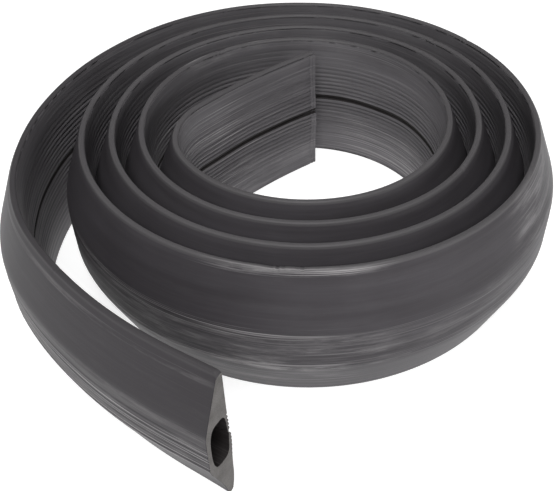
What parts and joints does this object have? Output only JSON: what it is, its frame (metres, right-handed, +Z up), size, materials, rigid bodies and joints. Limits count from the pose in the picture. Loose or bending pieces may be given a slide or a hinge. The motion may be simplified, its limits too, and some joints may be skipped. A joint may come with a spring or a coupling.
{
  "type": "cable protector ramp",
  "caption": "Low rubber floor ramp that covers cables, wound on edge into a loose coil, with a slit underside that opens a cable channel.",
  "frame": {"origin": "under the middle of the coil's bounding box, on the floor that the coil stands on", "axes": "+Z up, across the strip's width; +X the way the straight outer end points, with its ramp facing -Y"},
  "size_m": [0.2908, 0.3278, 0.083],
  "materials": {
    "rubber": "matt"
  },
  "bodies": {
    "coil": {"inner_bend": "rubber", "inner_run": "rubber", "turn_1": "rubber", "turn_2": "rubber", "turn_3": "rubber", "turn_4": "rubber"},
    "inner_end": {"inner_end": "rubber"},
    "free_length_1": {"free_length_1": "rubber"},
    "free_length_2": {"free_length_2": "rubber"},
    "free_length_3": {"free_length_3": "rubber"},
    "free_length_4": {"free_length_4": "rubber"},
    "free_length_5": {"free_length_5": "rubber"},
    "free_length_6": {"free_length_6": "rubber"},
    "free_length_7": {"free_length_7": "rubber"},
    "free_length_8": {"free_length_8": "rubber"},
    "free_length_9": {"free_length_9": "rubber"},
    "free_length_10": {"free_length_10": "rubber"}
  },
  "joints": [
    {"name": "inner_end_swing", "type": "hinge", "parent": "coil", "child": "inner_end", "pos_m": [-0.04634, -0.00285, 0.0415], "axis": [0, 0, -1], "range_deg": [0, 25], "stiffness_Nm_per_rad": 0.6},
    {"name": "unroll_1", "type": "hinge", "parent": "coil", "child": "free_length_1", "pos_m": [0.00452, 0.16388, 0.0415], "axis": [0, 0, -1], "range_deg": [0, 10.38], "stiffness_Nm_per_rad": 0.6},
    {"name": "unroll_2", "type": "hinge", "parent": "free_length_1", "child": "free_length_2", "pos_m": [-0.04852, 0.15417, 0.0415], "axis": [0, 0, -1], "range_deg": [0, 20.75], "stiffness_Nm_per_rad": 0.6},
    {"name": "unroll_3", "type": "hinge", "parent": "free_length_2", "child": "free_length_3", "pos_m": [-0.09467, 0.1263, 0.0415], "axis": [0, 0, -1], "range_deg": [0, 20.75], "stiffness_Nm_per_rad": 0.6},
    {"name": "unroll_4", "type": "hinge", "parent": "free_length_3", "child": "free_length_4", "pos_m": [-0.12796, 0.08388, 0.0415], "axis": [0, 0, -1], "range_deg": [0, 20.75], "stiffness_Nm_per_rad": 0.6},
    {"name": "unroll_5", "type": "hinge", "parent": "free_length_4", "child": "free_length_5", "pos_m": [-0.14406, 0.03242, 0.0415], "axis": [0, 0, -1], "range_deg": [0, 21.62], "stiffness_Nm_per_rad": 0.6},
    {"name": "unroll_6", "type": "hinge", "parent": "free_length_5", "child": "free_length_6", "pos_m": [-0.13884, -0.03789, 0.0415], "axis": [0, 0, -1], "range_deg": [0, 22.5], "stiffness_Nm_per_rad": 0.6},
    {"name": "unroll_7", "type": "hinge", "parent": "free_length_6", "child": "free_length_7", "pos_m": [-0.10711, -0.10085, 0.0415], "axis": [0, 0, -1], "range_deg": [0, 25], "stiffness_Nm_per_rad": 0.6},
    {"name": "unroll_8", "type": "hinge", "parent": "free_length_7", "child": "free_length_8", "pos_m": [-0.05663, -0.14064, 0.0415], "axis": [0, 0, -1], "range_deg": [0, 19.88], "stiffness_Nm_per_rad": 0.6},
    {"name": "unroll_9", "type": "hinge", "parent": "free_length_8", "child": "free_length_9", "pos_m": [-0.00434, -0.15801, 0.0415], "axis": [0, 0, -1], "range_deg": [0, 12.25], "stiffness_Nm_per_rad": 0.6},
    {"name": "unroll_10", "type": "hinge", "parent": "free_length_9", "child": "free_length_10", "pos_m": [0.05044, -0.16389, 0.0415], "axis": [0, 0, -1], "range_deg": [0, 6.12], "stiffness_Nm_per_rad": 0.6}
  ]
}
